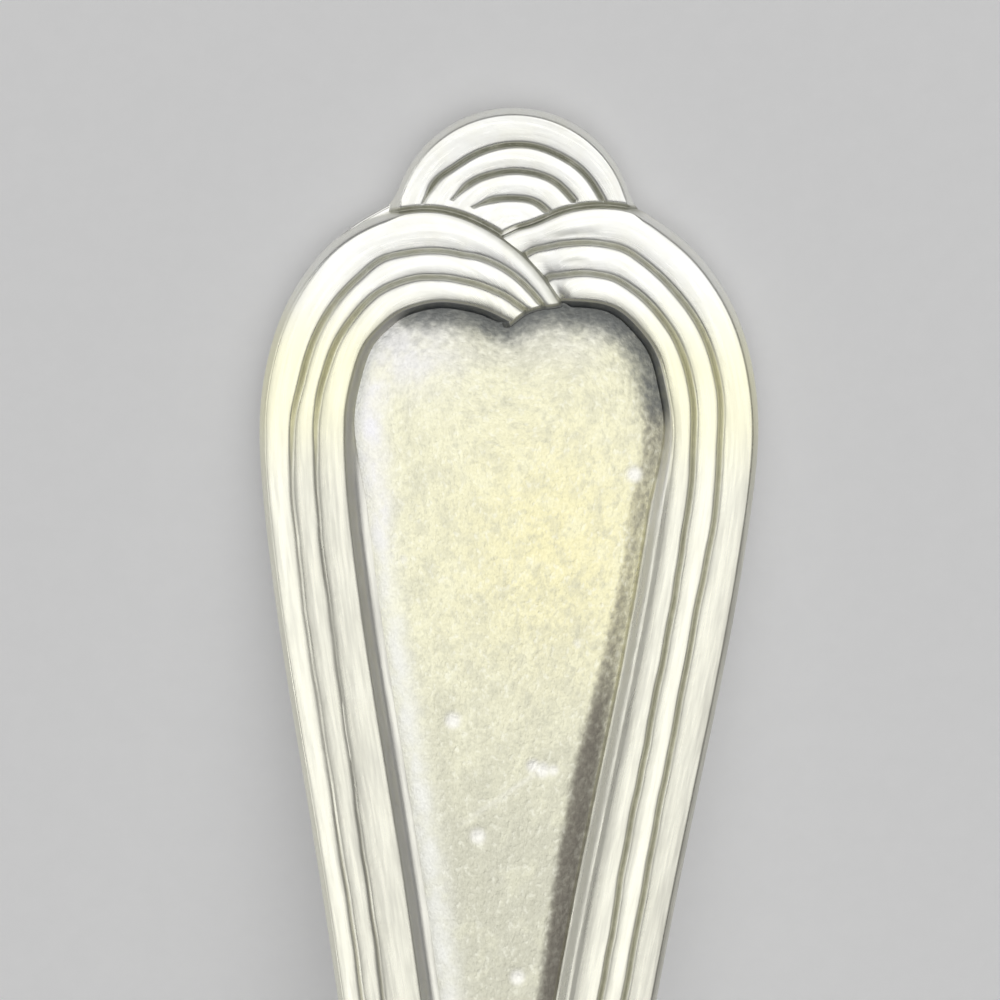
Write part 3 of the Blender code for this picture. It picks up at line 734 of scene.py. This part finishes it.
DINGS = (
    (5.05, 14.6, 0.26, 0.05), (-2.0, 24.6, 0.26, 0.05), (1.25, 26.35, 0.22, 0.045), (1.62, 26.5, 0.25, 0.05),
    (2.05, 26.5, 0.18, 0.035), (-0.9, 29.2, 0.25, 0.05), (0.8, 34.8, 0.24, 0.05), (-4.1, 18.2, 0.13, 0.02),
    (2.9, 21.4, 0.13, 0.02), (-0.6, 40.2, 0.2, 0.04), (0.4, 45.0, 0.16, 0.03),
)  # fmt: skip
SCRATCH = ((1.3, 26.7), (-1.5, 28.7))


def build_panel(columns=160, rows=480):
    left, right, top = panel_sides()
    u = clustered(columns) * 0.5 + np.linspace(0, 1, columns + 1) * 0.5
    v = np.concatenate([np.linspace(0, 0.8, rows - 120), 0.8 + 0.2 * (1 - (1 - np.linspace(0, 1, 121)[1:]) ** 1.5)])
    a, b, c = resample(left, v), resample(right, v), resample(top, u)
    bottom = a[0] + (b[0] - a[0]) * u[:, None]
    uu, vv = u[None, :, None], v[:, None, None]
    flat = (1 - uu) * a[:, None] + uu * b[:, None] + (1 - vv) * bottom[None] + vv * c[None]
    flat -= (1 - uu) * (1 - vv) * a[0] + uu * (1 - vv) * b[0] + (1 - uu) * vv * a[-1] + uu * vv * b[-1]
    n, m = flat.shape[:2]
    flat = flat.reshape(-1, 2)
    d_left, d_right, d_top = near(flat, left), near(flat, right), near(flat, top)
    d = np.minimum(np.minimum(d_left, d_right), d_top)
    l, s = flat.T
    h = PANEL_TOP + 0.09 * np.clip(1 - d / 0.8, 0, 1) ** 2
    h += 0.010 * wobble(l, 0.7, 5.0) * wobble(s, 1.9, 6.5) + 0.004 * wobble(l + 0.6 * s, 3.1, 1.9) * wobble(s - 0.7 * l, 0.4, 2.3)
    h = h * np.interp(s, [48, PANEL_POINT], [1, 0.7])
    # the dents are real bumps; the bright glints on them and along the scratch are painted highlights
    painted_glint = np.zeros(len(flat))
    for at_l, at_s, size, rise in DINGS:
        r = np.hypot(l - at_l, s - at_s) / (1.25 * size)
        h += rise * np.exp(-(r**2))
        painted_glint = np.maximum(painted_glint, np.exp(-(r**4)) * min(1.0, rise / 0.04))
    (l0, s0), (l1, s1) = SCRATCH
    run = np.clip(((l - l0) * (l1 - l0) + (s - s0) * (s1 - s0)) / ((l1 - l0) ** 2 + (s1 - s0) ** 2), 0, 1)
    off = np.hypot(l - l0 - run * (l1 - l0), s - s0 - run * (s1 - s0))
    painted_glint = np.maximum(painted_glint, 0.42 * (1 - 0.6 * run) * np.exp(-((off / 0.11) ** 2)))
    corner = np.exp(-(((l - 5.6) / 1.6) ** 2)) * np.exp(-(((s - 10.5) / 2.6) ** 2))
    reach = 1.0 + 0.35 * corner - 0.40 * ease((-l - 3.2) / 1.2) + 0.12 * np.exp(-(((l - 2.4) / 1.4) ** 2))
    shade = np.exp(-((d_top / reach) ** 2.4)) * (0.94 - 0.08 * ease(-l - 1.0) - 0.38 * ease((-l - 3.8) / 1.2))
    shade = np.maximum(shade, np.interp(l, [-6, -1, 1, 3, 5], [0.30, 0.30, 0.15, 0.24, 0.32]) * np.exp(-((d_top / 2.0) ** 3)))
    shade = np.maximum(shade, 0.85 * np.exp(-((d_right / 1.05) ** 2.5)) * (1 - ease((s - 11.4) / 2.4)) * ease((s - 7.5) / 2))
    shade = np.maximum(shade, 0.26 * np.exp(-((d_right / 2.1) ** 3)) * (1 - ease((s - 12.0) / 2.5)) * ease((s - 8.0) / 2))
    # painted shadow: a brown band along the panel's right side, a little in from the right wall
    middle = np.interp(s, [12, 18, 22, 26, 30, 35, 48], [0.35, 0.36, 0.38, 0.46, 0.38, 0.16, 0.10])
    half = np.interp(s, [12, 18, 22, 27, 31, 36, 48], [0.60, 0.30, 0.42, 0.56, 0.56, 0.50, 0.30])
    beside = np.interp(s, [12, 15, 18, 22, 25.5, 35, 50], [0.62, 0.50, 0.46, 0.62, 0.90, 0.90, 0.40])
    shadow_band = beside * np.exp(-(np.abs((d_right - middle) / half) ** 3.5))
    shadow_band = np.maximum(shadow_band, 0.30 * np.exp(-((d_right / 0.3) ** 4))) * ease((s - 9.5) / 3)
    # painted shade: a blue-grey line along the foot of the left wall
    line = np.interp(s, [12.5, 16.5], [0.40, 0.05]) * np.exp(-((d_left / 0.32) ** 2)) * ease((s - 8.5) / 2)
    gleam = np.exp(-(((d_left - np.interp(s, [12, 17], [0.72, 0.38])) / np.interp(s, [12, 18], [0.62, 0.56])) ** 2)) * ease((s - 9) / 3) * np.interp(s, [15, 19, 23, 36, 50], [1, 0.75, 1, 1, 0.3])
    gleam = np.maximum(gleam, 0.8 * np.exp(-(((l + 4.2) / 2.0) ** 2) - ((s - 10.0) / 1.5) ** 2))
    glow = np.exp(-(((l - 2.0) / 4.4) ** 2) - ((s - 17.6) / 5.2) ** 2)
    points = lay(l, s, h)
    order = np.arange(n * m).reshape(n, m)
    ring = np.concatenate([order[0], order[1:, -1], order[-1, -2::-1], order[-2:0:-1, 0]])
    under = np.arange(len(ring)) + n * m
    side = np.stack([ring, np.roll(ring, -1), np.roll(under, -1), under], -1)
    base = lay(l[ring], s[ring], np.full(len(ring), 0.0))
    place = np.column_stack([flat, d])
    right_side, left_side = under[m - 1 : m + n - 1], np.concatenate([under[:1], under[2 * m + n - 3 :][::-1]])
    rungs = np.stack([left_side[1:-1], right_side[1:-1], right_side[2:], left_side[2:]], -1)
    foot = [under[:m].tolist() + [int(right_side[1]), int(left_side[1])]]
    heart = [under[m + n - 2 : 2 * m + n - 2].tolist()]

    def both(values):
        return np.concatenate([values, values[ring]])

    return mesh_object(
        "panel_inlay_fine",
        np.concatenate([points, base]),
        [grid_faces(n, m), side, rungs, foot, heart],
        {"place": both(place), "shade": both(shade), "shadow_band": both(shadow_band), "line": both(line), "gleam": both(gleam), "glow": both(glow), "painted_glint": both(painted_glint)},
        sharp=60,
    )


# ---------------------------------------------------------------- materials
class Nodes:
    """Short words for building one material."""

    def __init__(self, name):
        self.mat = bpy.data.materials.new(name)
        self.mat.use_nodes = True
        self.tree = self.mat.node_tree
        self.bsdf = self.tree.nodes["Principled BSDF"]

    def link(self, value, socket):
        if isinstance(value, bpy.types.NodeSocket):
            self.tree.links.new(value, socket)
        elif isinstance(value, (tuple, list)):
            socket.default_value = (*value, 1) if len(value) == 3 and len(socket.default_value) == 4 else value
        else:
            socket.default_value = value

    def attribute(self, name, output="Fac"):
        node = self.tree.nodes.new("ShaderNodeAttribute")
        node.attribute_name = name
        return node.outputs[output]

    def stretch(self, vector, scale):
        node = self.tree.nodes.new("ShaderNodeVectorMath")
        node.operation = "MULTIPLY"
        self.link(vector, node.inputs[0])
        node.inputs[1].default_value = scale
        return node.outputs[0]

    def noise(self, vector, scale, detail=3.0, rough=0.55, distortion=0.0):
        node = self.tree.nodes.new("ShaderNodeTexNoise")
        self.link(vector, node.inputs["Vector"])
        node.inputs["Scale"].default_value = scale
        node.inputs["Detail"].default_value = detail
        node.inputs["Roughness"].default_value = rough
        node.inputs["Distortion"].default_value = distortion
        return node.outputs["Fac"]

    def cells(self, vector, scale):
        node = self.tree.nodes.new("ShaderNodeTexVoronoi")
        self.link(vector, node.inputs["Vector"])
        node.inputs["Scale"].default_value = scale
        return node.outputs["Distance"]

    def span(self, value, a, b, low=0.0, high=1.0):
        node = self.tree.nodes.new("ShaderNodeMapRange")
        node.interpolation_type = "SMOOTHSTEP"
        self.link(value, node.inputs["Value"])
        for key, number in (("From Min", a), ("From Max", b), ("To Min", low), ("To Max", high)):
            node.inputs[key].default_value = number
        return node.outputs["Result"]

    def math(self, kind, a, b):
        node = self.tree.nodes.new("ShaderNodeMath")
        node.operation = kind
        self.link(a, node.inputs[0])
        self.link(b, node.inputs[1])
        return node.outputs[0]

    def mix(self, share, a, b):
        node = self.tree.nodes.new("ShaderNodeMix")
        node.data_type = "RGBA"
        self.link(share, node.inputs["Factor"])
        self.link(a, node.inputs[6])
        self.link(b, node.inputs[7])
        return node.outputs[2]

    def part(self, vector, axis):
        node = self.tree.nodes.new("ShaderNodeSeparateXYZ")
        self.link(vector, node.inputs[0])
        return node.outputs[axis]

    def bump(self, height, strength, distance, under=None):
        node = self.tree.nodes.new("ShaderNodeBump")
        self.link(strength, node.inputs["Strength"])
        node.inputs["Distance"].default_value = distance
        self.link(height, node.inputs["Height"])
        if under is not None:
            self.link(under, node.inputs["Normal"])
        return node.outputs["Normal"]

    def finish(self, colour, roughness, metallic, normal=None):
        self.link(colour, self.bsdf.inputs["Base Color"])
        self.link(roughness, self.bsdf.inputs["Roughness"])
        self.link(metallic, self.bsdf.inputs["Metallic"])
        if normal is not None:
            self.link(normal, self.bsdf.inputs["Normal"])
        return self.mat


def reeded_silver():
    n = Nodes("silver_reeded")
    flow, place, dark = n.attribute("flow", "Vector"), n.attribute("place", "Vector"), n.attribute("dark")
    s = n.part(place, 1)
    streak = n.noise(n.stretch(flow, (0.35, 5.0, 1.0)), 1.0, 4.0, 0.6)
    blotch = n.noise(place, 0.9, 4.0, 0.6, 0.4)
    low = n.math("MULTIPLY", n.span(s, 11.0, 16.0), n.span(s, 70.0, 50.0, 0.2, 1.0))
    # painted warm highlight on the reeds near the crest
    warm = n.math("MULTIPLY", n.span(s, 6.5, 10.5), n.span(s, 16.0, 12.0))
    colour = n.mix(n.span(blotch, 0.35, 0.7), (0.955, 0.955, 0.91), (0.94, 0.935, 0.86))
    colour = n.mix(n.math("MULTIPLY", low, 0.75), colour, (0.93, 0.915, 0.76))
    colour = n.mix(n.math("MULTIPLY", warm, 0.68), colour, (0.955, 0.925, 0.62))
    wear_and_shade = n.attribute("wear_and_shade")
    colour = n.mix(n.math("MULTIPLY", low, n.span(streak, 0.45, 0.75, 0.0, 0.35)), colour, (0.70, 0.69, 0.62))
    # streaky wear, and on the right outer reed painted shade
    colour = n.mix(n.math("MULTIPLY", wear_and_shade, n.span(streak, 0.3, 0.7, 0.6, 1.0)), colour, (0.54, 0.53, 0.465))
    ragged = n.math("MULTIPLY", dark, n.span(n.noise(place, 2.6, 3.0, 0.6), 0.25, 0.6, 0.72, 1.0))
    colour = n.mix(n.math("MULTIPLY", ragged, 0.85), colour, n.mix(warm, (0.42, 0.42, 0.34), (0.52, 0.52, 0.48)))
    # painted shade on the inner walls: a pale blue reflection tint where light, dark blue-grey where heavy
    walls = n.attribute("painted_wall_shade")
    painted_wall_shade = n.math("MULTIPLY", walls, n.span(n.noise(place, 2.6, 3.0, 0.6), 0.25, 0.6, 0.80, 1.0))
    colour = n.mix(painted_wall_shade, colour, n.mix(n.span(walls, 0.62, 0.86), (0.88, 0.88, 0.95), (0.27, 0.285, 0.315)))
    rough = n.math("ADD", n.span(streak, 0.3, 0.7, 0.24, 0.36), n.math("MULTIPLY", n.math("MAXIMUM", ragged, painted_wall_shade), 0.25))
    rough = n.math("MULTIPLY", rough, n.span(s, 48.0, 74.0, 1.0, 0.5))
    fine = n.noise(n.stretch(flow, (0.8, 22.0, 1.0)), 1.0, 2.0, 0.5)
    normal = n.bump(fine, n.span(s, 46.0, 72.0, 0.07, 0.015), 0.00004, n.bump(blotch, n.span(s, 46.0, 72.0, 0.20, 0.04), 0.00008))
    return n.finish(colour, rough, 1.0, normal)


def matted_panel():
    n = Nodes("panel_matted")
    place, shade, painted_glint = n.attribute("place", "Vector"), n.attribute("shade"), n.attribute("painted_glint")
    gleam, glow, shadow_band, line = n.attribute("gleam"), n.attribute("glow"), n.attribute("shadow_band"), n.attribute("line")
    s = n.part(place, 1)
    cloud = n.noise(place, 0.22, 3.0, 0.5, 0.5)
    mottle = n.noise(place, 0.9, 3.0, 0.5)
    fleck = n.noise(place, 3.4, 2.0, 0.5)
    grain = n.noise(place, 9.0, 2.0, 0.6)
    drift = n.math("ADD", s, n.span(cloud, 0.3, 0.7, -1.2, 1.2))
    colour = n.mix(n.span(drift, 8.0, 10.8), (0.80, 0.79, 0.70), (0.905, 0.886, 0.67))
    colour = n.mix(glow, colour, (0.98, 0.922, 0.575))
    colour = n.mix(n.span(drift, 19.0, 33.0), colour, (0.69, 0.68, 0.557))
    patch = n.noise(place, 1.7, 2.0, 0.5, 0.6)
    colour = n.mix(n.span(mottle, 0.44, 0.70, 0.0, 0.36), colour, (0.66, 0.65, 0.52))
    colour = n.mix(n.span(mottle, 0.50, 0.30, 0.0, 0.34), colour, (0.97, 0.955, 0.73))
    colour = n.mix(n.span(patch, 0.50, 0.36, 0.0, 0.30), colour, (0.66, 0.65, 0.52))
    colour = n.mix(n.span(fleck, 0.46, 0.30, 0.0, 0.30), colour, (0.62, 0.615, 0.49))
    colour = n.mix(n.span(fleck, 0.54, 0.72, 0.0, 0.45), colour, (1.0, 0.995, 0.86))
    colour = n.mix(n.math("MULTIPLY", gleam, n.span(mottle, 0.3, 0.65, 0.5, 0.92)), colour, n.mix(n.span(s, 15.0, 21.0), (0.93, 0.92, 0.955), (0.935, 0.935, 0.88)))
    # painted shade line along the left wall
    colour = n.mix(line, colour, (0.46, 0.49, 0.56))
    uneven = n.span(fleck, 0.3, 0.7, 0.08, -0.10)
    # painted brown shadow band along the panel's right side
    brown = n.span(n.math("ADD", shadow_band, uneven), 0.05, 1.0)
    colour = n.mix(n.math("MULTIPLY", brown, 0.92), colour, (0.215, 0.195, 0.165))
    ragged = n.span(n.math("ADD", shade, uneven), 0.05, 1.0)
    colour = n.mix(n.math("MULTIPLY", ragged, 0.92), colour, (0.19, 0.20, 0.20))
    # painted glints on the dents and along the scratch
    colour = n.mix(painted_glint, colour, (1.0, 0.985, 0.91))
    rough = n.math("ADD", n.span(grain, 0.3, 0.7, 0.33, 0.43), n.math("MULTIPLY", n.math("MAXIMUM", ragged, brown), 0.12))
    normal = n.bump(grain, 0.25, 0.00004, n.bump(fleck, n.span(gleam, 0.0, 1.0, 0.45, 0.2), 0.00006))
    return n.finish(colour, rough, 1.0, normal)


def polished_silver():
    n = Nodes("silver_polished")
    flow = n.attribute("flow", "Vector")
    smudge = n.noise(flow, 0.16, 4.0, 0.6, 0.8)
    scratch = n.noise(n.stretch(flow, (7.0, 0.25, 5.0)), 1.0, 3.0, 0.6)
    cross = n.noise(n.stretch(flow, (0.6, 9.0, 3.0)), 0.9, 2.0, 0.5)
    colour = n.mix(n.span(smudge, 0.35, 0.7), (0.95, 0.945, 0.925), (0.92, 0.91, 0.88))
    rough = n.math("ADD", n.span(smudge, 0.35, 0.65, 0.11, 0.19), n.span(scratch, 0.5, 0.8, 0.0, 0.06))
    normal = n.bump(scratch, 0.05, 0.00003, n.bump(cross, 0.04, 0.00003))
    return n.finish(colour, rough, 1.0, normal)


def solder_line():
    n = Nodes("solder_line")
    flow = n.attribute("flow", "Vector")
    speckle = n.noise(flow, 3.0, 4.0, 0.6)
    colour = n.mix(n.span(speckle, 0.35, 0.65), (0.90, 0.89, 0.85), (0.82, 0.805, 0.75))
    return n.finish(colour, n.span(speckle, 0.3, 0.7, 0.18, 0.30), 1.0, n.bump(speckle, 0.06, 0.00003))


def pale_floor():
    n = Nodes("pale_floor")
    node = n.tree.nodes.new("ShaderNodeTexCoord")
    paper = n.noise(node.outputs["Object"], 900.0, 3.0, 0.6)
    colour = n.mix(n.span(paper, 0.3, 0.7), (0.872, 0.872, 0.868), (0.888, 0.888, 0.884))
    away = n.tree.nodes.new("ShaderNodeVectorMath")
    away.operation = "LENGTH"
    n.link(node.outputs["Object"], away.inputs[0])
    n.bsdf.inputs["Emission Color"].default_value = (1, 1, 1, 1)
    n.link(n.span(away.outputs["Value"], 0.15, 1.3, 0.10, 0.276), n.bsdf.inputs["Emission Strength"])
    return n.finish(colour, 0.9, 0.0)


polished, reeded, matted, soldered = polished_silver(), reeded_silver(), matted_panel(), solder_line()

# ---------------------------------------------------------------- pieces
whole = core_mesh()
pieces = [
    (core_piece("bowl_fine", whole, keep_bowl=SOLDER / 2 + 0.002), "bowl", "polished_silver", polished),
    (core_piece("scarf_solder_fine", whole, keep_bowl=-SOLDER / 2, keep_handle=SOLDER / 2), "scarf_solder", "hard_solder", soldered),
    (core_piece("handle_blank_fine", whole, keep_handle=-SOLDER / 2 - 0.002), "handle_blank", "polished_silver", polished),
    (build_left(), "left_reeded_border", "reeded_silver", reeded),
    (build_right(), "right_reeded_border", "reeded_silver", reeded),
    (build_crest(), "crest", "reeded_silver", reeded),
    (build_panel(), "panel_inlay", "matted_warm_silver", matted),
]
whole.free()
for obj, node, slot, mat in pieces:
    obj.data.materials.append(mat)
    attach(obj, "root")
    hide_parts(node)

# ---------------------------------------------------------------- floor
floor_mesh = bpy.data.meshes.new("floor")
floor_mesh.from_pydata([(-6, -6, 0), (6, -6, 0), (6, 6, 0), (-6, 6, 0)], [], [(0, 1, 2, 3)])
floor = bpy.data.objects.new("floor", floor_mesh)
bpy.context.scene.collection.objects.link(floor)
floor.data.materials.append(pale_floor())

# ---------------------------------------------------------------- camera, square to the handle end's face
slope = math.atan2(float(edge_line(y_at(30.0)) - edge_line(y_at(6.0))), float(y_at(6.0) - y_at(30.0)))
AWAY_FROM = Vector((0, math.sin(slope), math.cos(slope)))
ALONG = Vector((0, math.cos(slope), -math.sin(slope)))
ACROSS = Vector((1, 0, 0))
ROLL = math.radians(1.22)
SIDE, DISTANCE = 0.040, 0.36
centre = Vector([float(v) for v in lay(-0.297, np.array(15.73), 0.3)])
data = bpy.data.cameras.new("camera")
data.sensor_width = 36.0
data.lens = 36.0 * DISTANCE / SIDE
data.clip_start, data.clip_end = 0.01, 20
camera = bpy.data.objects.new("camera", data)
view_right = ACROSS * math.cos(ROLL) + ALONG * math.sin(ROLL)
view_up = ALONG * math.cos(ROLL) - ACROSS * math.sin(ROLL)
camera.matrix_world = (
    Matrix.Translation(centre + AWAY_FROM * DISTANCE) @ Matrix((view_right, view_up, AWAY_FROM)).transposed().to_4x4()
)
bpy.context.scene.collection.objects.link(camera)
bpy.context.scene.camera = camera
bpy.context.scene.view_settings.view_transform = "Standard"

# ---------------------------------------------------------------- light
world = bpy.data.worlds.new("studio")
bpy.context.scene.world = world
world.use_nodes = True
sky = world.node_tree
where = sky.nodes.new("ShaderNodeTexCoord")
height = sky.nodes.new("ShaderNodeSeparateXYZ")
tone = sky.nodes.new("ShaderNodeValToRGB")
for spot, level in ((0.06, 0.46), (0.16, 0.25), (0.32, 0.17), (0.60, 0.20)):
    stop = tone.color_ramp.elements[0] if spot == 0.06 else tone.color_ramp.elements.new(spot)
    stop.position, stop.color = spot, (level, level, level * 1.012, 1)
tone.color_ramp.elements[-1].color = (0.23, 0.23, 0.235, 1)
sky.links.new(where.outputs["Generated"], height.inputs[0])
sky.links.new(height.outputs["Z"], tone.inputs["Fac"])
sky.links.new(tone.outputs["Color"], sky.nodes["Background"].inputs["Color"])
sky.nodes["Background"].inputs["Strength"].default_value = 1.0


def softbox(name, right, up, away, size, radiance, colour=(1, 1, 1)):
    """A soft light at a place given from the handle's end, in metres across, along and away from its face."""
    data = bpy.data.lights.new(name, "AREA")
    data.shape, data.size, data.size_y = "RECTANGLE", size[0], size[1]
    data.energy, data.color = radiance * math.pi * size[0] * size[1], colour
    obj = bpy.data.objects.new(name, data)
    obj.location = centre + ACROSS * right + ALONG * up + AWAY_FROM * away
    obj.rotation_mode = "QUATERNION"
    obj.rotation_quaternion = (centre - obj.location).to_track_quat("-Z", "Y")
    obj.visible_camera = False
    bpy.context.scene.collection.objects.link(obj)
    return obj


softbox("overhead", 0.06, -0.04, 0.55, (0.44, 0.50), 0.48)
softbox("overhead_halo", 0.13, -0.03, 0.90, (1.5, 1.5), 0.52)
softbox("left_fill", -0.95, 0.0, 0.46, (0.9, 0.40), 1.1).visible_diffuse = False  # gloss only, so the floor stays even
